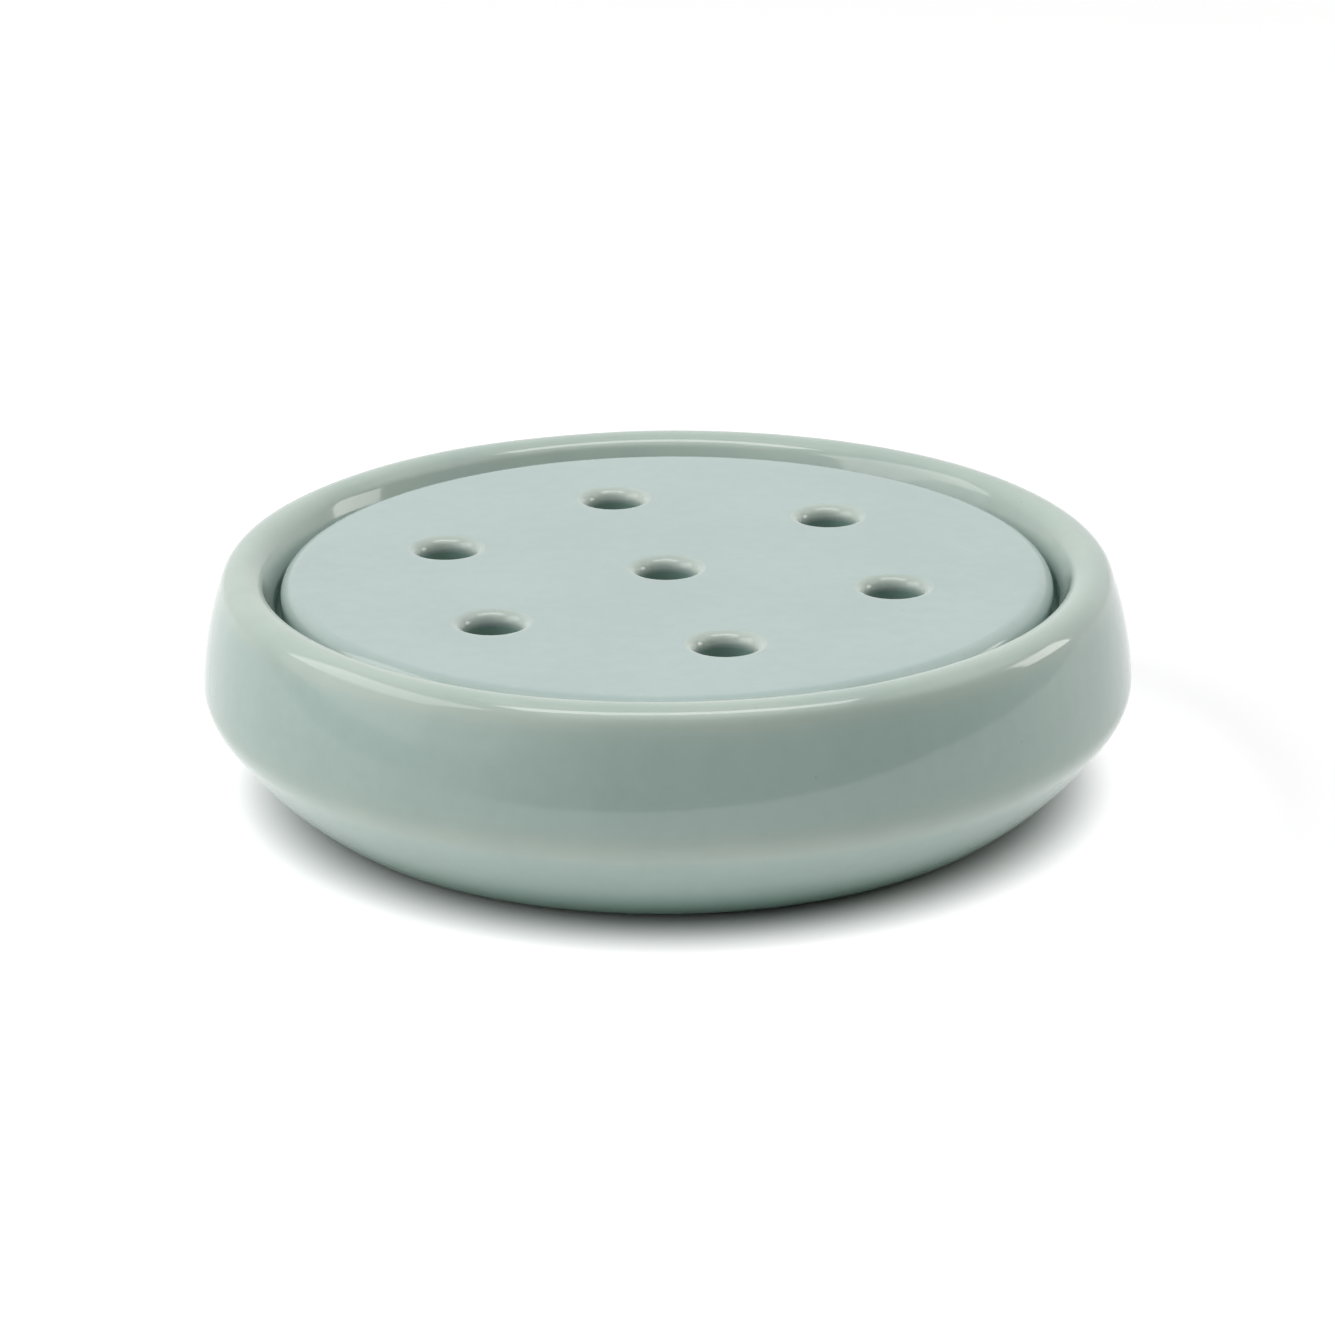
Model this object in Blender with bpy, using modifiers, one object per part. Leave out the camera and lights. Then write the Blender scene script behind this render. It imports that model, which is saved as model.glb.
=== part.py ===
"""Flower frog: a low round ceramic bowl for water, with a loose perforated disc that holds the stems.

The disc lies on a ledge just inside the bowl's rim and lifts straight out. Metres, +Z up. The
origin is on the bowl's axis, in the plane that its foot stands on.
"""

import math

import bpy
from mathutils import Vector

MM = 0.001

# Driving dimensions
BOWL_RADIUS = 60 * MM
BOWL_HEIGHT = 30 * MM
RIM_INNER_RADIUS = 52.5 * MM
FOOT_CORNER_RADIUS = 47.5 * MM
DISC_RADIUS = 49.75 * MM
DISC_THICKNESS = 4.6 * MM
DISC_BELOW_RIM = 1.7 * MM
HOLE_RADIUS = 3.6 * MM
HOLE_CIRCLE_RADIUS = 30 * MM
RING_HOLES = 6
DISC_TURN = math.radians(-16.3)

# The gap that the disc keeps to its ledge, and what follows from it
SEAT_GAP = 0.3 * MM
DISC_BASE_Z = BOWL_HEIGHT - DISC_BELOW_RIM - DISC_THICKNESS
LEDGE_Z = DISC_BASE_Z - SEAT_GAP

# Inside of the bowl: the rim slopes to a wall that stands round the disc, and below it is the ledge
SEAT_TOP_RADIUS = RIM_INNER_RADIUS - 2.1 * MM
SEAT_TOP_Z = 25.6 * MM
SEAT_TOP_ROUNDING = 2.0 * MM
SEAT_FOOT_RADIUS = SEAT_TOP_RADIUS - 0.1 * MM
SEAT_FOOT_ROUNDING = 1.0 * MM
LEDGE_WIDTH = 3.5 * MM
LEDGE_INNER_RADIUS = SEAT_FOOT_RADIUS - LEDGE_WIDTH
LEDGE_EDGE_ROUNDING = 1.0 * MM
FLOOR_RADIUS = LEDGE_INNER_RADIUS - 0.8 * MM
FLOOR_ROUNDING = 8 * MM
FLOOR_Z = 7 * MM

# Outside of the bowl, from the rim down: the corners of its outline before rounding
RIM_OUTER_RADIUS = BOWL_RADIUS - 3.4 * MM
RIM_INNER_ROUNDING = 2.5 * MM
RIM_OUTER_ROUNDING = 3.0 * MM
WALL_BEND = (BOWL_RADIUS - 0.55 * MM, 21.9 * MM)
WALL_ROUNDING = 43 * MM
BELLY_CORNER = (BOWL_RADIUS + 0.2 * MM, 13.2 * MM)
BELLY_ROUNDING = 6 * MM
FLANK_BEND = (BOWL_RADIUS - 5.85 * MM, 5.25 * MM)
FLANK_ROUNDING = 43 * MM
FOOT_CORNER_ROUNDING = 5.2 * MM

# Underside of the bowl: a foot ring round a shallow recess
FOOT_INNER_RADIUS = 40.5 * MM
FOOT_EDGE_ROUNDING = 0.6 * MM
RECESS_DEPTH = 1.5 * MM
RECESS_RADIUS = FOOT_INNER_RADIUS - 0.75 * MM
RECESS_ROUNDING = 1.2 * MM

# Disc edges, and how far its top sags to the middle
DISC_TOP_ROUNDING = 2.35 * MM
DISC_BASE_ROUNDING = 1.0 * MM
DISC_SAG = 0.25 * MM
SAG_RADIUS = DISC_RADIUS - DISC_TOP_ROUNDING
HOLE_TOP_FLARE = 1.6 * MM
HOLE_BASE_FLARE = 0.8 * MM

# Fineness of the turned shapes, and how far the hole cutters overshoot the disc and its faces
BODY_STEPS = 72
HOLE_STEPS = 24
DEGREES_PER_ARC_STEP = 20
FEWEST_ARC_STEPS = 2
SAG_STEPS = 5
MERGE = 0.01 * MM
CUTTER_REACH = 2 * MM
CUTTER_STEP = 0.1 * MM
SHARP_ANGLE = math.radians(40)

GLAZE_ROUGHNESS = 0.14
BOWL_COLOUR = (0.47, 0.55, 0.51, 1.0)
DISC_COLOUR = (0.50, 0.58, 0.54, 1.0)


def clear_scene():
    for obj in list(bpy.data.objects):
        bpy.data.objects.remove(obj)


def new_collection(name):
    collection = bpy.data.collections.new(name)
    bpy.context.scene.collection.children.link(collection)
    return collection


def glaze(name, colour):
    material = bpy.data.materials.new(name)
    material.use_nodes = True
    shader = material.node_tree.nodes["Principled BSDF"]
    shader.inputs["Base Color"].default_value = colour
    shader.inputs["Roughness"].default_value = GLAZE_ROUGHNESS
    shader.inputs["Metallic"].default_value = 0.0
    material.diffuse_color = colour
    return material


def rounded(corners):
    """An open outline through corners (r, z, rounding), each turned by an arc of that radius."""
    points = []
    for index, (r, z, rounding) in enumerate(corners):
        here = Vector((r, z))
        if rounding == 0:
            points.append(here)
            continue
        back = (Vector(corners[index - 1][:2]) - here).normalized()
        ahead = (Vector(corners[index + 1][:2]) - here).normalized()
        half = back.angle(ahead) / 2
        turn = math.pi - 2 * half
        centre = here + (back + ahead).normalized() * (rounding / math.sin(half))
        first = here + back * (rounding / math.tan(half)) - centre
        side = 1 if back.cross(ahead) < 0 else -1
        steps = max(FEWEST_ARC_STEPS, round(math.degrees(turn) / DEGREES_PER_ARC_STEP))
        for step in range(steps + 1):
            angle = side * turn * step / steps
            cos, sin = math.cos(angle), math.sin(angle)
            spoke = Vector((first.x * cos - first.y * sin, first.x * sin + first.y * cos))
            points.append(centre + spoke)
    return points


def turned(name, outline, steps, collection):
    """A solid of revolution about Z. Its outline runs from the axis over the top and down."""
    mesh = bpy.data.meshes.new(name)
    edges = [(i, i + 1) for i in range(len(outline) - 1)]
    mesh.from_pydata([(r, 0, z) for r, z in outline], edges, [])
    obj = bpy.data.objects.new(name, mesh)
    collection.objects.link(obj)
    screw = obj.modifiers.new("turn", "SCREW")
    screw.axis = "Z"
    screw.steps = steps
    screw.render_steps = steps
    screw.use_merge_vertices = True
    screw.merge_threshold = MERGE
    screw.use_smooth_shade = True
    return obj


def keep_evaluated_mesh(obj, material):
    """Gives the object the mesh that its modifiers make, shaded smooth but for its real edges."""
    bpy.context.view_layer.update()
    graph = bpy.context.evaluated_depsgraph_get()
    mesh = bpy.data.meshes.new_from_object(obj.evaluated_get(graph))
    obj.modifiers.clear()
    obj.data = mesh
    mesh.name = obj.name
    mesh.materials.clear()
    mesh.materials.append(material)
    mesh.shade_smooth()
    mesh.set_sharp_from_angle(angle=SHARP_ANGLE)


def bowl_outline():
    inside = [
        (0, FLOOR_Z, 0),
        (FLOOR_RADIUS, FLOOR_Z, FLOOR_ROUNDING),
        (LEDGE_INNER_RADIUS, LEDGE_Z, LEDGE_EDGE_ROUNDING),
        (SEAT_FOOT_RADIUS, LEDGE_Z, SEAT_FOOT_ROUNDING),
        (SEAT_TOP_RADIUS, SEAT_TOP_Z, SEAT_TOP_ROUNDING),
        (RIM_INNER_RADIUS, BOWL_HEIGHT, RIM_INNER_ROUNDING),
    ]
    outside = [
        (RIM_OUTER_RADIUS, BOWL_HEIGHT, RIM_OUTER_ROUNDING),
        (*WALL_BEND, WALL_ROUNDING),
        (*BELLY_CORNER, BELLY_ROUNDING),
        (*FLANK_BEND, FLANK_ROUNDING),
        (FOOT_CORNER_RADIUS, 0, FOOT_CORNER_ROUNDING),
    ]
    underside = [
        (FOOT_INNER_RADIUS, 0, FOOT_EDGE_ROUNDING),
        (RECESS_RADIUS, RECESS_DEPTH, RECESS_ROUNDING),
        (0, RECESS_DEPTH, 0),
    ]
    return rounded(inside + outside + underside)


def disc_top(r):
    """Height of the disc's sagging top above its base, at a distance r from its middle."""
    return DISC_THICKNESS - DISC_SAG * (1 - (r / SAG_RADIUS) ** 2)


def disc_outline():
    sagging = []
    for step in range(SAG_STEPS):
        r = SAG_RADIUS * step / SAG_STEPS
        sagging.append((r, disc_top(r), 0))
    edge = [
        (DISC_RADIUS, DISC_THICKNESS, DISC_TOP_ROUNDING),
        (DISC_RADIUS, 0, DISC_BASE_ROUNDING),
        (0, 0, 0),
    ]
    return rounded(sagging + edge)


def hole_outline(top):
    """A stem hole, open above and below, whose wall flares into the disc's top and underside."""
    above = top + CUTTER_REACH
    below = -CUTTER_REACH
    mouth = HOLE_RADIUS + HOLE_TOP_FLARE + CUTTER_STEP
    way_out = HOLE_RADIUS + HOLE_BASE_FLARE + CUTTER_STEP
    return rounded([
        (0, above, 0),
        (mouth, above, 0),
        (mouth, top + CUTTER_STEP, 0),
        (HOLE_RADIUS, top + CUTTER_STEP, HOLE_TOP_FLARE),
        (HOLE_RADIUS, -CUTTER_STEP, HOLE_BASE_FLARE),
        (way_out, -CUTTER_STEP, 0),
        (way_out, below, 0),
        (0, below, 0),
    ])


def hole_places():
    places = [Vector((0, 0, 0))]
    for index in range(RING_HOLES):
        angle = math.tau * index / RING_HOLES
        places.append(Vector((math.cos(angle), math.sin(angle), 0)) * HOLE_CIRCLE_RADIUS)
    return places


def make_bowl(parts):
    bowl = turned("bowl", bowl_outline(), BODY_STEPS, parts)
    keep_evaluated_mesh(bowl, glaze("bowl_glaze", BOWL_COLOUR))
    return bowl


def make_disc(parts, cutters):
    """The disc, on an empty at its seat that lifts it along its joint's axis."""
    lift = bpy.data.objects.new("disc_lift", None)
    lift.empty_display_size = DISC_RADIUS
    lift.location = (0, 0, DISC_BASE_Z)
    lift.rotation_euler = (0, 0, DISC_TURN)
    parts.objects.link(lift)

    disc = turned("stem_disc", disc_outline(), BODY_STEPS, parts)
    disc.parent = lift
    for index, place in enumerate(hole_places()):
        name = f"stem_hole_cutter_{index}"
        cutter = turned(name, hole_outline(disc_top(place.length)), HOLE_STEPS, cutters)
        cutter.parent = lift
        cutter.location = place
        cutter.hide_render = True
        cutter.display_type = "WIRE"
        cut = disc.modifiers.new(name, "BOOLEAN")
        cut.operation = "DIFFERENCE"
        cut.solver = "EXACT"
        cut.object = cutter
    keep_evaluated_mesh(disc, glaze("disc_glaze", DISC_COLOUR))
    return disc


def main():
    clear_scene()
    parts = new_collection("flower_frog")
    cutters = new_collection("cutters")
    make_bowl(parts)
    make_disc(parts, cutters)


main()
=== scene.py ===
"""Looks of the flower frog: fine turned meshes in place of the CAD solids, a celadon glaze that thins on
edges and pools in corners, darker green toward the foot and in the holes partly as painted shade, bare
clay where a kiln shelf would touch, a pale floor that glows round the foot as painted light, and studio
light.
"""

import math

import bmesh
import bpy
import numpy as np
from mathutils import Matrix, Vector, noise


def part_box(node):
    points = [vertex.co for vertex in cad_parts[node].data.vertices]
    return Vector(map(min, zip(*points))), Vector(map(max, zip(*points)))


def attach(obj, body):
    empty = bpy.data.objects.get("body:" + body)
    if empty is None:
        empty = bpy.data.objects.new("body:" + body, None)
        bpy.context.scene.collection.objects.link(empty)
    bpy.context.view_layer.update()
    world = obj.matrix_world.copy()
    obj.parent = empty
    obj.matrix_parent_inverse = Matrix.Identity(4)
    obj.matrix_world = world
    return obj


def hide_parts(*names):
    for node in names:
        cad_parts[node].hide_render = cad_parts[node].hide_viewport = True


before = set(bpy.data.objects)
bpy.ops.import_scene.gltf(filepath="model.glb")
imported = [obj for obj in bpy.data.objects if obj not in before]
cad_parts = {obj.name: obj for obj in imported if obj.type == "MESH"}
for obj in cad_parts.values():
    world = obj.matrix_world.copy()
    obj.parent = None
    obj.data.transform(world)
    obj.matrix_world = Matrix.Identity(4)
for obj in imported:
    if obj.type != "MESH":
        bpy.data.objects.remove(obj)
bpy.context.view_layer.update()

MM = 0.001

_, bowl_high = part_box("bowl")
disc_low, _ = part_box("stem_disc")

# Inside of the bowl, from the rim down to its floor
BOWL_RADIUS = 60 * MM
BOWL_HEIGHT = bowl_high.z
RIM_INNER_RADIUS = BOWL_RADIUS - 7.5 * MM
RIM_INNER_ROUNDING = 3.1 * MM
SEAT_TOP_RADIUS = RIM_INNER_RADIUS - 2.1 * MM
SEAT_TOP_Z = 25.6 * MM
SEAT_TOP_ROUNDING = 2.0 * MM
SEAT_FOOT_RADIUS = SEAT_TOP_RADIUS - 0.1 * MM
SEAT_FOOT_ROUNDING = 1.0 * MM
SEAT_GAP = 0.3 * MM
LEDGE_Z = disc_low.z - SEAT_GAP
LEDGE_WIDTH = 3.5 * MM
LEDGE_INNER_RADIUS = SEAT_FOOT_RADIUS - LEDGE_WIDTH
LEDGE_EDGE_ROUNDING = 1.0 * MM
FLOOR_RADIUS = LEDGE_INNER_RADIUS - 0.8 * MM
FLOOR_ROUNDING = 8 * MM
FLOOR_Z = 7 * MM

# Outside of the bowl, from the rim down, then its underside
RIM_OUTER_RADIUS = BOWL_RADIUS - 3.4 * MM
RIM_OUTER_ROUNDING = 3.0 * MM
WALL_BEND = (BOWL_RADIUS - 0.55 * MM, 21.9 * MM)
WALL_ROUNDING = 43 * MM
BELLY_CORNER = (BOWL_RADIUS + 0.18 * MM, 13.2 * MM)
BELLY_ROUNDING = 6 * MM
FLANK_BEND = (BOWL_RADIUS - 5.85 * MM, 5.25 * MM)
FLANK_ROUNDING = 43 * MM
FOOT_CORNER_RADIUS = BOWL_RADIUS - 12.5 * MM
FOOT_CORNER_ROUNDING = 5.2 * MM
FOOT_INNER_RADIUS = 40.5 * MM
FOOT_EDGE_ROUNDING = 0.6 * MM
RECESS_DEPTH = 1.5 * MM
RECESS_RADIUS = FOOT_INNER_RADIUS - 0.75 * MM
RECESS_ROUNDING = 1.2 * MM

# The disc
DISC_BASE_Z = disc_low.z
DISC_RADIUS = 49.75 * MM
DISC_THICKNESS = 4.6 * MM
DISC_TOP_ROUNDING = 2.35 * MM
DISC_BASE_ROUNDING = 1.0 * MM
DISC_SAG = 0.25 * MM
SAG_RADIUS = DISC_RADIUS - DISC_TOP_ROUNDING
HOLE_RADIUS = 3.6 * MM
HOLE_TOP_FLARE = 1.6 * MM
HOLE_BASE_FLARE = 0.8 * MM
HOLE_CIRCLE_RADIUS = 30 * MM
RING_HOLES = 6
DISC_TURN = math.radians(-16.3)

# How far glaze draws back from an edge as it melts, and the height below which the glaze is darker green
# toward the foot: partly glaze run down thick, partly painted shade where the bowl meets the floor
GLAZE_FLOW = 2 * MM
RUN_DOWN_AND_SHADE_Z = 8 * MM

# Glaze depth on the disc: 1 where it thins over an edge, -1 where it pools, and past 1 on the hole lips
HOLE_LIP_DEPTH = 1.8
HOLE_LIP_SPREAD = 0.7
# The hole walls take the darker pooled green: partly glaze pooled in the holes, partly painted shade
HOLE_WALL_POOL_AND_SHADE = -1.0
DISC_TOP_EDGE_DEPTH = 0.35
DISC_BASE_EDGE_DEPTH = 0.6

# About how far the bowl's surface wanders inward, over what distance, and the heights where that sets in
WAVER_DEPTH = 0.12 * MM
WAVER_REACH = 24 * MM
WAVER_START_Z = 2 * MM
WAVER_FULL_Z = 8 * MM

# Bare clay: the flat of the foot ring, and the rim of the disc's underside
BARE_FOOT_Z = 0.12 * MM
BARE_DISC_WIDTH = 4 * MM
BARE_DISC_Z = 0.05 * MM

# Sizes of the patterns in glaze and clay
DRIFT_SIZE = 22 * MM
MOTTLE_SIZE = 2.4 * MM
SPECK_SPACING = 5.5 * MM
WAVE_SIZE = 9 * MM
PEEL_SIZE = 1.1 * MM
GRAIN_SIZE = 0.5 * MM
PATCH_SIZE = 6 * MM

# Relief of those patterns: the glaze's as shares of RELIEF_SCALE
RELIEF_SCALE = MM
WAVE_HEIGHT = 0.02
PEEL_HEIGHT = 0.0008
SPECK_PIT = 0.004
GRAIN_HEIGHT = 0.05 * MM

# How much of each colour shows in the glaze: its tone's spread, then shares that are mixed in
TONE_SPREAD = 0.035
MOTTLE_SHARE = 0.4
THIN_SHARE = (0.14, 0.25)
HOLE_LIP_SHARE = 0.1
POOL_AND_SHADE_SHARE = 0.75
SPECK_SHARE = 0.22
SPECK_EDGE = (0.022, 0.045)

# Noise mostly stays in this range
NOISE_RANGE = (0.3, 0.7)

# Surfaces
GLAZE_IOR = 1.52
GLAZE_ROUGHNESS = (0.055, 0.095)
THIN_POLISH = 0.05
CLAY_ROUGHNESS = (0.7, 0.95)
FLOOR_ROUGHNESS = 0.6

# Colours
GLAZE_COLOUR = (0.279, 0.362, 0.332, 1)
DISC_COLOUR = (0.285, 0.36, 0.343, 1)
POOL_AND_SHADE_COLOUR = (0.16, 0.29, 0.235, 1)
THIN_COLOUR = (0.47, 0.485, 0.39, 1)
SPECK_COLOUR = (0.16, 0.17, 0.13, 1)
CLAY_DARK = (0.50, 0.44, 0.36, 1)
CLAY_PALE = (0.66, 0.61, 0.53, 1)
WHITE = (1, 1, 1, 1)
FLOOR_COLOUR = (0.62, 0.62, 0.62, 1)

# The floor: how far it reaches, and the line in front of the bowl past which only the camera sees it
FLOOR_REACH = 3
TABLE_FRONT = 0.2
TABLE_TURN = math.radians(-22)

# The floor's own light, painted light that lifts the bowl's shadow: none under the foot, strong round it
# and further out in front, weak beyond
GLOW_START = (0.048, 0.060)
GLOW_FADE = (0.056, 0.082)
GLOW_CENTRE = (0, -0.010, 0)
GLOW_STRONG = 0.6
GLOW_WEAK = 0.19

# The room is dim in a cone toward DIM_DIRECTION (azimuth, elevation), between these angles from it
DIM_DIRECTION = (30, -15)
DIM_EDGE = math.radians(90)
DIM_CORE = math.radians(38)
ROOM_LIGHT = 0.94
DIM_LIGHT = 0.01

# Camera
LENS = 103.7
SENSOR = 36
CAMERA_TARGET_Z = 14.3 * MM
CAMERA_DISTANCE = 0.5005
CAMERA_ELEVATION = math.radians(20.28)
CAMERA_ROLL = math.radians(0.44)

# Soft boxes: name, azimuth, elevation, distance, width, height, radiance, colour
SOFT_BOXES = (
    ("zenith", 0, 88, 1.2, 1.0, 1.0, 0.45, (1, 1, 1)),
    ("strip", 8, 83, 1.2, 1.2, 0.3, 4.7, (1, 1, 1)),
    ("overhead_front", 10, 65, 1.2, 1.3, 0.35, 0.8, (1, 1, 1)),
    ("left_wall", -88, 38, 1.3, 1.2, 0.6, 2.3, (1, 1, 1)),
    ("left_low", -84, 14, 1.3, 1.2, 0.5, 0.5, (1, 1, 1)),
    ("left_front", -66, 16, 1.3, 1.4, 0.5, 0.3, (1, 1, 1)),
    ("right_high", 95, 45, 1.3, 0.8, 0.5, 0.5, (1, 1, 1)),
    ("window", 107, 15.4, 1.4, 0.48, 0.46, 3.7, (1.0, 0.97, 0.92)),
)

# Fineness
BODY_SEGMENTS = 240
HOLE_SEGMENTS = 96
ARC_STEP = math.radians(7)
LONGEST_STEP = 1.5 * MM
FEWEST_ARC_STEPS = 4
FILLET_STEPS = 14
HOLE_WALL_STEPS = 5
HOLE_BASE_STEPS = 6
DISC_TOP_STEPS = 14
DISC_BASE_STEPS = 8
MERGE = 0.002 * MM

# The disc's flat faces: rows of faces crowd toward the holes, and the middle hole has a round of its own
FACE_ROWS = 12
ROW_CROWDING = 1.6
CORE_RADIUS = 12 * MM
SIDE_PIECES = (HOLE_SEGMENTS - (BODY_SEGMENTS + HOLE_SEGMENTS) // RING_HOLES) // 2
RING_HOLE_START = -math.tau * (BODY_SEGMENTS // RING_HOLES) / HOLE_SEGMENTS / 2


# ---------------------------------------------------------------- shapes

def rounded(corners):
    """Points of an open outline through corners (r, z, rounding), with straights split as well."""
    points = []
    for index, (r, z, rounding) in enumerate(corners):
        here = Vector((r, z))
        if rounding == 0:
            arc = [here]
        else:
            back = (Vector(corners[index - 1][:2]) - here).normalized()
            ahead = (Vector(corners[index + 1][:2]) - here).normalized()
            half = back.angle(ahead) / 2
            turn = math.pi - 2 * half
            centre = here + (back + ahead).normalized() * (rounding / math.sin(half))
            first = here + back * (rounding / math.tan(half)) - centre
            side = 1 if back.cross(ahead) < 0 else -1
            steps = max(
                FEWEST_ARC_STEPS,
                math.ceil(turn / ARC_STEP),
                math.ceil(turn * rounding / LONGEST_STEP),
            )
            arc = []
            for step in range(steps + 1):
                angle = side * turn * step / steps
                cos, sin = math.cos(angle), math.sin(angle)
                spoke = Vector((first.x * cos - first.y * sin, first.x * sin + first.y * cos))
                arc.append(centre + spoke)
        if points:
            run = arc[0] - points[-1]
            pieces = max(1, math.ceil(run.length / LONGEST_STEP))
            start = points[-1]
            points += [start + run * (piece / pieces) for piece in range(1, pieces)]
        points += arc
    return [(point.x, point.y) for point in points]


def bend(points):
    """How far an outline turns within GLAZE_FLOW of each point, in radians: outward is positive."""
    step = np.diff(np.array(points), axis=0)
    along = np.concatenate([[0], np.cumsum(np.hypot(*step.T))])
    heading = np.unwrap(np.arctan2(step[:, 1], step[:, 0]))
    middle = (along[1:] + along[:-1]) / 2
    ahead = np.interp(along + GLAZE_FLOW, middle, heading)
    behind = np.interp(along - GLAZE_FLOW, middle, heading)
    return behind - ahead


def store_glaze_and_shade(mesh, depth):
    """A value for each vertex: 1 where the glaze thins over an edge, -1 where it pools, also down to -1
    toward the foot and in the holes as painted shade, 0 elsewhere.
    """
    attribute = mesh.attributes.new("glaze_depth_and_shade", "FLOAT", "POINT")
    attribute.data.foreach_set("value", np.clip(depth, -1, 1).astype(np.float32))


def new_object(name, mesh):
    obj = bpy.data.objects.new(name, mesh)
    bpy.context.scene.collection.objects.link(obj)
    return obj


def lathe(name, outline, depth, segments):
    """A closed mesh turned about Z from an outline that starts and ends on the axis."""
    inner = outline[1:-1]
    angles = [math.tau * i / segments for i in range(segments)]
    vertices = [(0, 0, outline[0][1])]
    for r, z in inner:
        vertices += [(r * math.cos(a), r * math.sin(a), z) for a in angles]
    vertices.append((0, 0, outline[-1][1]))
    last = len(vertices) - 1
    faces = []
    for i in range(segments):
        j = (i + 1) % segments
        faces.append((0, 1 + i, 1 + j))
        for ring in range(len(inner) - 1):
            top = 1 + ring * segments
            low = top + segments
            faces.append((top + i, low + i, low + j, top + j))
        base = 1 + (len(inner) - 1) * segments
        faces.append((base + i, last, base + j))
    mesh = bpy.data.meshes.new(name)
    mesh.from_pydata(vertices, [], faces)
    mesh.shade_smooth()
    everywhere = [depth[0]] + [d for d in depth[1:-1] for _ in range(segments)] + [depth[-1]]
    store_glaze_and_shade(mesh, np.array(everywhere))
    return mesh


def waver(mesh):
    """Draws the surface in a little here and there, as clay and glaze do, but leaves the foot alone."""
    moves = []
    for vertex in mesh.vertices:
        rise = (vertex.co.z - WAVER_START_Z) / (WAVER_FULL_Z - WAVER_START_Z)
        hold = min(1, max(0, rise))
        dip = min(0, noise.noise(vertex.co / WAVER_REACH) - 0.5)
        moves.append(vertex.normal * (WAVER_DEPTH * hold * dip))
    for vertex, move in zip(mesh.vertices, moves):
        vertex.co += move


# ---------------------------------------------------------------- the bowl

def bowl_outline():
    inside = [
        (0, FLOOR_Z, 0),
        (FLOOR_RADIUS, FLOOR_Z, FLOOR_ROUNDING),
        (LEDGE_INNER_RADIUS, LEDGE_Z, LEDGE_EDGE_ROUNDING),
        (SEAT_FOOT_RADIUS, LEDGE_Z, SEAT_FOOT_ROUNDING),
        (SEAT_TOP_RADIUS, SEAT_TOP_Z, SEAT_TOP_ROUNDING),
        (RIM_INNER_RADIUS, BOWL_HEIGHT, RIM_INNER_ROUNDING),
    ]
    outside = [
        (RIM_OUTER_RADIUS, BOWL_HEIGHT, RIM_OUTER_ROUNDING),
        (*WALL_BEND, WALL_ROUNDING),
        (*BELLY_CORNER, BELLY_ROUNDING),
        (*FLANK_BEND, FLANK_ROUNDING),
        (FOOT_CORNER_RADIUS, 0, FOOT_CORNER_ROUNDING),
    ]
    underside = [
        (FOOT_INNER_RADIUS, 0, FOOT_EDGE_ROUNDING),
        (RECESS_RADIUS, RECESS_DEPTH, RECESS_ROUNDING),
        (0, RECESS_DEPTH, 0),
    ]
    return rounded(inside + outside + underside)


def make_bowl(glaze, clay):
    outline = bowl_outline()
    depth = bend(outline)
    # Toward the foot the glaze depth falls to -1 for a darker green: partly glaze run down thick, partly
    # painted shade
    for index, (_, z) in enumerate(outline):
        if z < RUN_DOWN_AND_SHADE_Z:
            depth[index] = min(depth[index], z / RUN_DOWN_AND_SHADE_Z - 1)
    mesh = lathe("bowl", outline, depth, BODY_SEGMENTS)
    waver(mesh)
    mesh.materials.append(glaze)
    mesh.materials.append(clay)
    for face in mesh.polygons:
        r = math.hypot(face.center.x, face.center.y)
        face.material_index = int(face.center.z < BARE_FOOT_Z and r > FOOT_INNER_RADIUS)
    bowl = new_object("glazed_bowl", mesh)
    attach(bowl, "bowl")
    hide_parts("bowl")


# ---------------------------------------------------------------- the disc

def disc_top(x, y):
    """Height of the disc's sagging top above its base."""
    r = math.hypot(x, y)
    return DISC_THICKNESS - DISC_SAG * max(0, 1 - (r / SAG_RADIUS) ** 2)


def circle(centre, radius, count, start):
    turns = [start + math.tau * i / count for i in range(count)]
    return [(centre[0] + radius * math.cos(a), centre[1] + radius * math.sin(a)) for a in turns]


def polar(radius, angle):
    return (radius * math.cos(angle), radius * math.sin(angle))


def add_strip(bm, depth, rings, flip=False):
    """Joins closed rings of points (x, y, z, glaze depth) with faces."""
    made = []
    for ring in rings:
        row = []
        for x, y, z, amount in ring:
            vertex = bm.verts.new((x, y, z))
            vertex[depth] = amount
            row.append(vertex)
        made.append(row)
    for upper, lower in zip(made, made[1:]):
        for i in range(len(upper)):
            j = (i + 1) % len(upper)
            corners = [upper[i], lower[i], lower[j], upper[j]]
            bm.faces.new(reversed(corners) if flip else corners)


def sector_edge(outer_radius, middle):
    """Points round the sixth of the disc about one ring hole, as many as the hole has."""
    low, high = middle - math.pi / RING_HOLES, middle + math.pi / RING_HOLES
    points = []
    for corner, next_corner, pieces in (
        ((outer_radius, low), (outer_radius, high), BODY_SEGMENTS // RING_HOLES),
        ((outer_radius, high), (CORE_RADIUS, high), SIDE_PIECES),
        ((CORE_RADIUS, high), (CORE_RADIUS, low), HOLE_SEGMENTS // RING_HOLES),
        ((CORE_RADIUS, low), (outer_radius, low), SIDE_PIECES),
    ):
        for piece in range(pieces):
            share = piece / pieces
            radius, angle = [a + (b - a) * share for a, b in zip(corner, next_corner)]
            points.append(polar(radius, angle))
    return points


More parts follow.
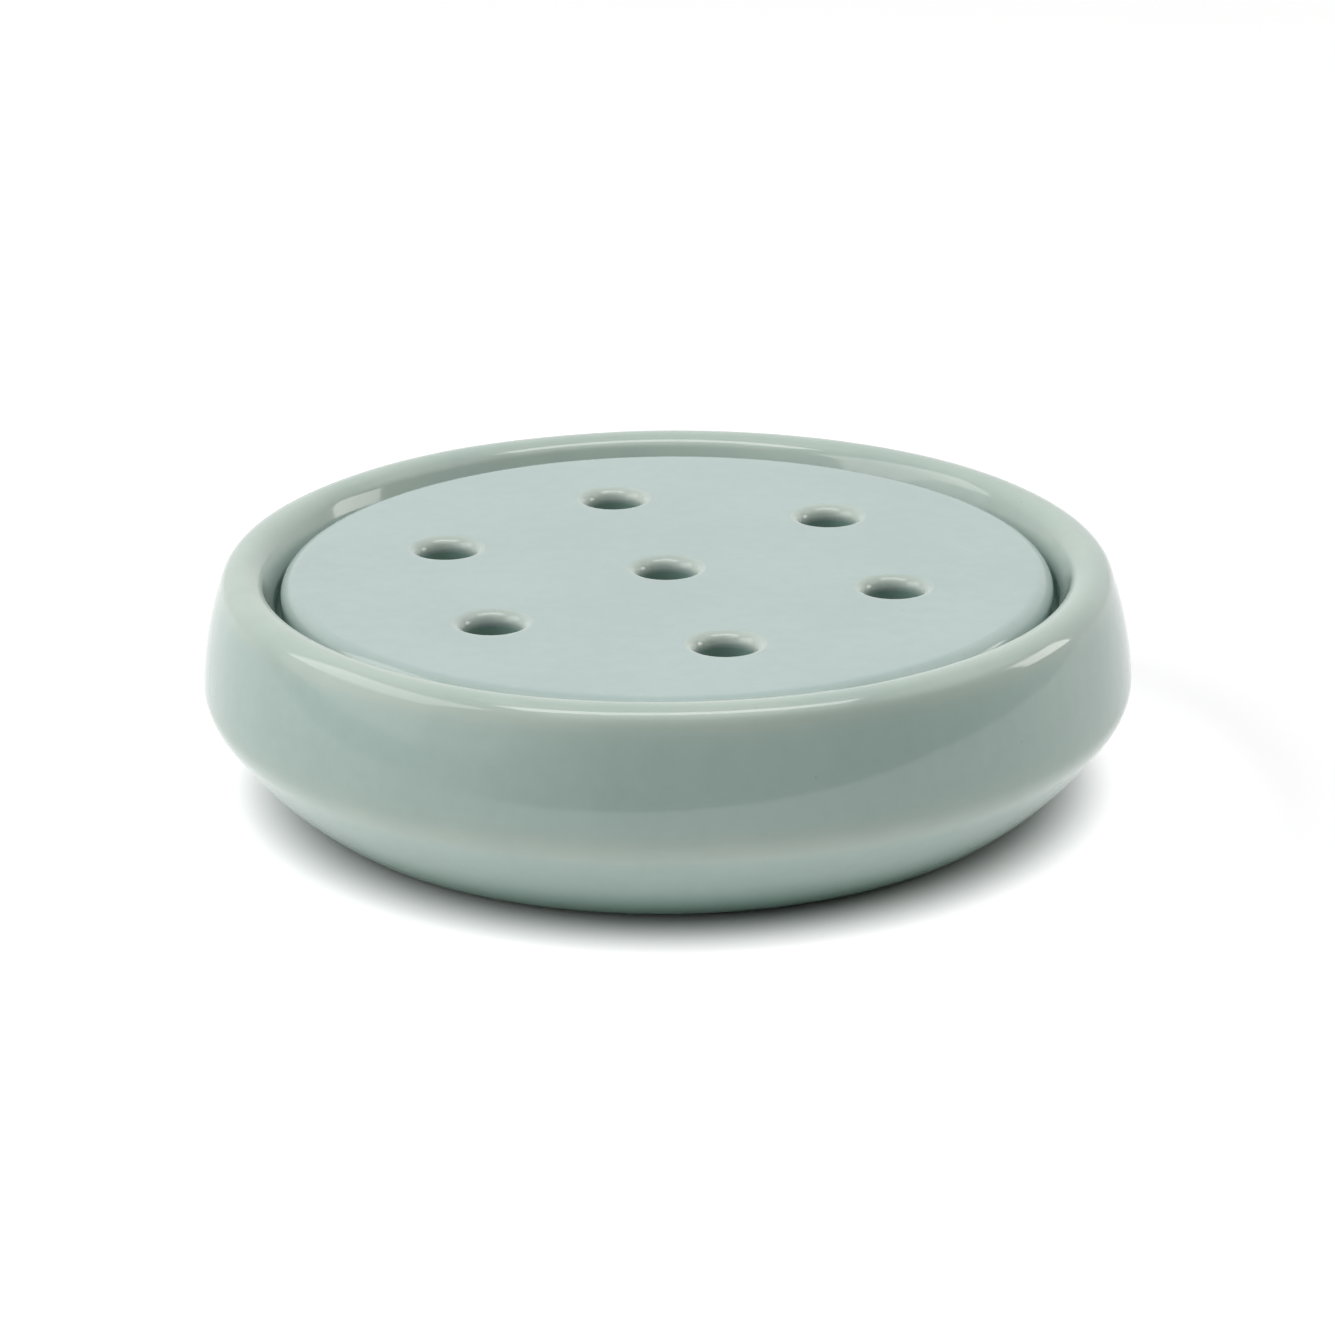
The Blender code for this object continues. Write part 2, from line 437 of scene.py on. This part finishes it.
def add_flat_face(bm, depth, outer_radius, lip_radius, height, flip):
    """A round face about seven holes: a ring round the middle one and a sixth round each other."""
    core = circle((0, 0), CORE_RADIUS, HOLE_SEGMENTS, math.pi / RING_HOLES)
    lip = circle((0, 0), lip_radius, HOLE_SEGMENTS, math.pi / RING_HOLES)
    around = [(lip, core)]
    for index in range(RING_HOLES):
        middle = math.tau * index / RING_HOLES
        place = polar(HOLE_CIRCLE_RADIUS, middle)
        lip = circle(place, lip_radius, HOLE_SEGMENTS, middle + RING_HOLE_START)
        around.append((lip, sector_edge(outer_radius, middle)))
    for inner, outer in around:
        rings = []
        for row in range(FACE_ROWS, -1, -1):
            share = (row / FACE_ROWS) ** ROW_CROWDING
            ring = []
            for a, b in zip(inner, outer):
                x = a[0] + (b[0] - a[0]) * share
                y = a[1] + (b[1] - a[1]) * share
                ring.append((x, y, height(x, y), 0.0))
            rings.append(ring)
        add_strip(bm, depth, rings, flip)


def hole_rings(place, start):
    """The rings of one hole's wall, from its lip at the top to its lip at the underside."""
    middle_top = disc_top(*place)
    rings = []
    for step in range(FILLET_STEPS + 1):
        angle = math.pi / 2 * step / FILLET_STEPS
        radius = HOLE_RADIUS + HOLE_TOP_FLARE * (1 - math.sin(angle))
        drop = HOLE_TOP_FLARE * (1 - math.cos(angle))
        amount = HOLE_LIP_DEPTH * math.sin(math.pi * step / FILLET_STEPS) ** HOLE_LIP_SPREAD
        ring = []
        for x, y in circle(place, radius, HOLE_SEGMENTS, start):
            slope = (disc_top(x, y) - middle_top) * (1 - step / FILLET_STEPS)
            ring.append((x, y, middle_top + slope - drop, amount))
        rings.append(ring)
    top = middle_top - HOLE_TOP_FLARE
    wall = circle(place, HOLE_RADIUS, HOLE_SEGMENTS, start)
    for step in range(1, HOLE_WALL_STEPS):
        z = top + (HOLE_BASE_FLARE - top) * step / HOLE_WALL_STEPS
        # Hole walls: darker green, partly pooled glaze and partly painted shade in the hole
        rings.append([(x, y, z, HOLE_WALL_POOL_AND_SHADE) for x, y in wall])
    for step in range(HOLE_BASE_STEPS + 1):
        angle = math.pi / 2 * step / HOLE_BASE_STEPS
        radius = HOLE_RADIUS + HOLE_BASE_FLARE * (1 - math.cos(angle))
        z = HOLE_BASE_FLARE * (1 - math.sin(angle))
        amount = math.sin(2 * angle)
        ring = circle(place, radius, HOLE_SEGMENTS, start)
        rings.append([(x, y, z, amount) for x, y in ring])
    return rings


def edge_rings():
    """The rings of the disc's outer edge, from the top round to the underside."""
    profile = []
    for step in range(DISC_TOP_STEPS + 1):
        angle = math.pi / 2 * step / DISC_TOP_STEPS
        radius = SAG_RADIUS + DISC_TOP_ROUNDING * math.sin(angle)
        z = DISC_THICKNESS - DISC_TOP_ROUNDING * (1 - math.cos(angle))
        profile.append((radius, z, DISC_TOP_EDGE_DEPTH * math.sin(2 * angle)))
    for step in range(DISC_BASE_STEPS + 1):
        angle = math.pi / 2 * step / DISC_BASE_STEPS
        radius = DISC_RADIUS - DISC_BASE_ROUNDING * (1 - math.cos(angle))
        z = DISC_BASE_ROUNDING * (1 - math.sin(angle))
        profile.append((radius, z, DISC_BASE_EDGE_DEPTH * math.sin(2 * angle)))
    rings = []
    for radius, z, amount in profile:
        ring = circle((0, 0), radius, BODY_SEGMENTS, math.pi / RING_HOLES)
        rings.append([(x, y, z, amount) for x, y in ring])
    return rings


def make_disc(glaze, clay):
    bm = bmesh.new()
    depth = bm.verts.layers.float.new("glaze_depth_and_shade")
    top_lip = HOLE_RADIUS + HOLE_TOP_FLARE
    base_lip = HOLE_RADIUS + HOLE_BASE_FLARE
    base_radius = DISC_RADIUS - DISC_BASE_ROUNDING
    add_flat_face(bm, depth, SAG_RADIUS, top_lip, disc_top, True)
    add_flat_face(bm, depth, base_radius, base_lip, lambda x, y: 0.0, False)
    add_strip(bm, depth, hole_rings((0, 0), math.pi / RING_HOLES), True)
    for index in range(RING_HOLES):
        middle = math.tau * index / RING_HOLES
        place = polar(HOLE_CIRCLE_RADIUS, middle)
        add_strip(bm, depth, hole_rings(place, middle + RING_HOLE_START), True)
    add_strip(bm, depth, edge_rings())
    bmesh.ops.remove_doubles(bm, verts=bm.verts, dist=MERGE)
    mesh = bpy.data.meshes.new("stem_disc")
    bm.to_mesh(mesh)
    bm.free()
    mesh.transform(Matrix.Translation((0, 0, DISC_BASE_Z)) @ Matrix.Rotation(DISC_TURN, 4, "Z"))
    mesh.shade_smooth()
    mesh.materials.append(glaze)
    mesh.materials.append(clay)
    for face in mesh.polygons:
        r = math.hypot(face.center.x, face.center.y)
        under = face.center.z < DISC_BASE_Z + BARE_DISC_Z
        face.material_index = int(under and r > DISC_RADIUS - BARE_DISC_WIDTH)
    disc = new_object("perforated_disc", mesh)
    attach(disc, "disc")
    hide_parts("stem_disc")


# ---------------------------------------------------------------- materials

class Nodes:
    """Short calls for making and joining shader nodes."""

    def __init__(self, name):
        self.material = bpy.data.materials.new(name)
        self.material.use_nodes = True
        self.tree = self.material.node_tree
        self.shader = self.tree.nodes["Principled BSDF"]

    def add(self, kind, **settings):
        node = self.tree.nodes.new(kind)
        for key, value in settings.items():
            setattr(node, key, value)
        return node

    def join(self, source, target):
        self.tree.links.new(source, target)

    def feed(self, node, key, value):
        if isinstance(value, bpy.types.NodeSocket):
            self.join(value, node.inputs[key])
        else:
            node.inputs[key].default_value = value

    def math(self, operation, a, b):
        node = self.add("ShaderNodeMath", operation=operation)
        self.feed(node, 0, a)
        self.feed(node, 1, b)
        return node.outputs[0]

    def span(self, value, low, high, to_low=0.0, to_high=1.0):
        """Eases from to_low to to_high as the value goes from low to high."""
        node = self.add("ShaderNodeMapRange", interpolation_type="SMOOTHSTEP")
        self.feed(node, 0, value)
        for key, number in zip((1, 2, 3, 4), (low, high, to_low, to_high)):
            node.inputs[key].default_value = number
        return node.outputs[0]

    def noise(self, where, size, detail=2.0, roughness=0.5):
        node = self.add("ShaderNodeTexNoise")
        self.join(where, node.inputs["Vector"])
        node.inputs["Scale"].default_value = 1 / size
        node.inputs["Detail"].default_value = detail
        node.inputs["Roughness"].default_value = roughness
        return node.outputs["Fac"]

    def blend(self, amount, a, b):
        node = self.add("ShaderNodeMix", data_type="RGBA")
        self.feed(node, 0, amount)
        self.feed(node, 6, a)
        self.feed(node, 7, b)
        return node.outputs[2]


def shaded(colour, share):
    return [c * share for c in colour[:3]] + [1]


def make_glaze(name, colour):
    """Glossy celadon: paler and creamier where it is thin, greener where it pools and, as painted shade,
    toward the foot and in the holes, with iron specks.
    """
    n = Nodes(name)
    where = n.add("ShaderNodeTexCoord").outputs["Object"]
    depth = n.add("ShaderNodeAttribute", attribute_name="glaze_depth_and_shade").outputs["Fac"]

    drift = n.noise(where, DRIFT_SIZE, 3)
    mottle = n.noise(where, MOTTLE_SIZE, 4, 0.6)
    slow = n.math("MULTIPLY", drift, 1 - MOTTLE_SHARE)
    tone = n.math("ADD", slow, n.math("MULTIPLY", mottle, MOTTLE_SHARE))
    dark, light = shaded(colour, 1 - TONE_SPREAD), shaded(colour, 1 + TONE_SPREAD)
    body = n.blend(n.span(tone, *NOISE_RANGE), dark, light)

    thin = n.math("MULTIPLY", n.span(depth, 0.1, 0.75), n.span(drift, *NOISE_RANGE, *THIN_SHARE))
    thin = n.math("ADD", thin, n.span(depth, 1.0, HOLE_LIP_DEPTH, 0.0, HOLE_LIP_SHARE))
    body = n.blend(thin, body, THIN_COLOUR)
    # Pooled glaze in corners, and painted shade toward the foot and in the holes, take the darker green
    pool_and_shade = n.span(n.math("MULTIPLY", depth, -1.0), 0.1, 0.9)
    body = n.blend(n.math("MULTIPLY", pool_and_shade, POOL_AND_SHADE_SHARE), body, POOL_AND_SHADE_COLOUR)

    speck = n.add("ShaderNodeTexVoronoi", feature="F1")
    n.join(where, speck.inputs["Vector"])
    speck.inputs["Scale"].default_value = 1 / SPECK_SPACING
    dot = n.span(speck.outputs["Distance"], *SPECK_EDGE, 1.0, 0.0)
    body = n.blend(n.math("MULTIPLY", dot, SPECK_SHARE), body, SPECK_COLOUR)
    n.join(body, n.shader.inputs["Base Color"])

    roughness = n.span(mottle, 0.25, 0.75, *GLAZE_ROUGHNESS)
    roughness = n.math("ADD", roughness, n.math("MULTIPLY", thin, -THIN_POLISH))
    n.join(roughness, n.shader.inputs["Roughness"])
    n.shader.inputs["IOR"].default_value = GLAZE_IOR

    waves = n.math("MULTIPLY", n.noise(where, WAVE_SIZE, 2), WAVE_HEIGHT)
    peel = n.math("MULTIPLY", n.noise(where, PEEL_SIZE, 2), PEEL_HEIGHT)
    pits = n.math("MULTIPLY", dot, SPECK_PIT)
    height = n.math("SUBTRACT", n.math("ADD", waves, peel), pits)
    bump = n.add("ShaderNodeBump")
    bump.inputs["Strength"].default_value = 1.0
    bump.inputs["Distance"].default_value = RELIEF_SCALE
    n.join(height, bump.inputs["Height"])
    n.join(bump.outputs["Normal"], n.shader.inputs["Normal"])
    return n.material


def make_clay():
    n = Nodes("bare_clay")
    where = n.add("ShaderNodeTexCoord").outputs["Object"]
    grain = n.noise(where, GRAIN_SIZE, 5, 0.7)
    patch = n.noise(where, PATCH_SIZE, 3)
    mix = n.math("ADD", n.math("MULTIPLY", grain, 0.5), n.math("MULTIPLY", patch, 0.5))
    body = n.blend(n.span(mix, *NOISE_RANGE), CLAY_DARK, CLAY_PALE)
    n.join(body, n.shader.inputs["Base Color"])
    n.join(n.span(grain, 0.2, 0.8, *CLAY_ROUGHNESS), n.shader.inputs["Roughness"])
    bump = n.add("ShaderNodeBump")
    bump.inputs["Distance"].default_value = GRAIN_HEIGHT
    n.join(grain, bump.inputs["Height"])
    n.join(bump.outputs["Normal"], n.shader.inputs["Normal"])
    return n.material


# ---------------------------------------------------------------- stage, light and camera

def make_floor():
    """A pale floor that glows round the foot, painted light that lifts the bowl's shadow there. Past the
    table's front, only the camera sees it.
    """
    n = Nodes("floor_paint_and_glow")
    where = n.add("ShaderNodeTexCoord").outputs["Object"]
    from_axis = n.add("ShaderNodeVectorMath", operation="LENGTH")
    n.join(where, from_axis.inputs[0])
    outside_foot = n.span(from_axis.outputs["Value"], *GLOW_START)
    from_glow = n.add("ShaderNodeVectorMath", operation="DISTANCE")
    n.join(where, from_glow.inputs[0])
    from_glow.inputs[1].default_value = GLOW_CENTRE
    glow = n.span(from_glow.outputs["Value"], *GLOW_FADE, GLOW_STRONG, GLOW_WEAK)
    # Painted light: the floor glows as no lamp would, strongest just round the foot, lifting the bowl's
    # shadow there
    n.join(n.math("MULTIPLY", outside_foot, glow), n.shader.inputs["Emission Strength"])
    n.shader.inputs["Emission Color"].default_value = WHITE
    n.shader.inputs["Base Color"].default_value = FLOOR_COLOUR
    n.shader.inputs["Roughness"].default_value = FLOOR_ROUGHNESS
    for name, front, back in (
        ("table", -TABLE_FRONT, FLOOR_REACH),
        ("foreground", -FLOOR_REACH, -TABLE_FRONT),
    ):
        mesh = bpy.data.meshes.new(name)
        corners = [(x, y, 0) for x, y in (
            (-FLOOR_REACH, front),
            (FLOOR_REACH, front),
            (FLOOR_REACH, back),
            (-FLOOR_REACH, back),
        )]
        mesh.from_pydata(corners, [], [(0, 1, 2, 3)])
        mesh.transform(Matrix.Rotation(TABLE_TURN, 4, "Z"))
        mesh.materials.append(n.material)
        part = new_object(name, mesh)
        part.visible_glossy = name == "table"
        part.visible_diffuse = name == "table"


def sky_direction(azimuth, elevation):
    """Azimuth 0 is on the camera's side and 90 to its right."""
    a, e = math.radians(azimuth), math.radians(elevation)
    return Vector((math.sin(a) * math.cos(e), -math.cos(a) * math.cos(e), math.sin(e)))


def soft_box(name, azimuth, elevation, distance, width, height, radiance, colour):
    """An area light that faces the object and looks as bright as radiance times a white surface."""
    out = sky_direction(azimuth, elevation)
    light = bpy.data.lights.new(name, "AREA")
    light.shape = "RECTANGLE"
    light.size = width
    light.size_y = height
    light.energy = radiance * math.pi * width * height
    light.color = colour
    obj = bpy.data.objects.new(name, light)
    bpy.context.scene.collection.objects.link(obj)
    obj.location = out * distance + Vector((0, 0, BOWL_HEIGHT))
    obj.rotation_euler = out.to_track_quat("Z", "Y").to_euler()
    obj.visible_camera = False


def make_world():
    """A pale room that is dim on the camera's side, low down."""
    world = bpy.data.worlds.new("studio")
    world.use_nodes = True
    tree = world.node_tree
    background = tree.nodes["Background"]
    where = tree.nodes.new("ShaderNodeTexCoord")
    toward = tree.nodes.new("ShaderNodeVectorMath")
    toward.operation = "DOT_PRODUCT"
    toward.inputs[1].default_value = sky_direction(*DIM_DIRECTION)
    tree.links.new(where.outputs["Generated"], toward.inputs[0])
    dim = tree.nodes.new("ShaderNodeMapRange")
    dim.interpolation_type = "SMOOTHSTEP"
    limits = (math.cos(DIM_EDGE), math.cos(DIM_CORE), ROOM_LIGHT, DIM_LIGHT)
    for key, number in zip((1, 2, 3, 4), limits):
        dim.inputs[key].default_value = number
    tree.links.new(toward.outputs["Value"], dim.inputs[0])
    tree.links.new(dim.outputs[0], background.inputs["Strength"])
    background.inputs["Color"].default_value = WHITE
    bpy.context.scene.world = world


def make_camera():
    data = bpy.data.cameras.new("camera")
    data.lens = LENS
    data.sensor_width = SENSOR
    data.clip_start = 0.01
    camera = new_object("camera", data)
    target = Vector((0, 0, CAMERA_TARGET_Z))
    back = Vector((0, -math.cos(CAMERA_ELEVATION), math.sin(CAMERA_ELEVATION)))
    camera.location = target + back * CAMERA_DISTANCE
    facing = (-back).to_track_quat("-Z", "Y").to_matrix()
    camera.rotation_euler = (facing @ Matrix.Rotation(-CAMERA_ROLL, 3, "Z")).to_euler()
    bpy.context.scene.camera = camera


clay = make_clay()
make_bowl(make_glaze("bowl_celadon", GLAZE_COLOUR), clay)
make_disc(make_glaze("disc_celadon", DISC_COLOUR), clay)
make_floor()
make_world()
for box in SOFT_BOXES:
    soft_box(*box)
make_camera()
bpy.context.scene.view_settings.view_transform = "Standard"
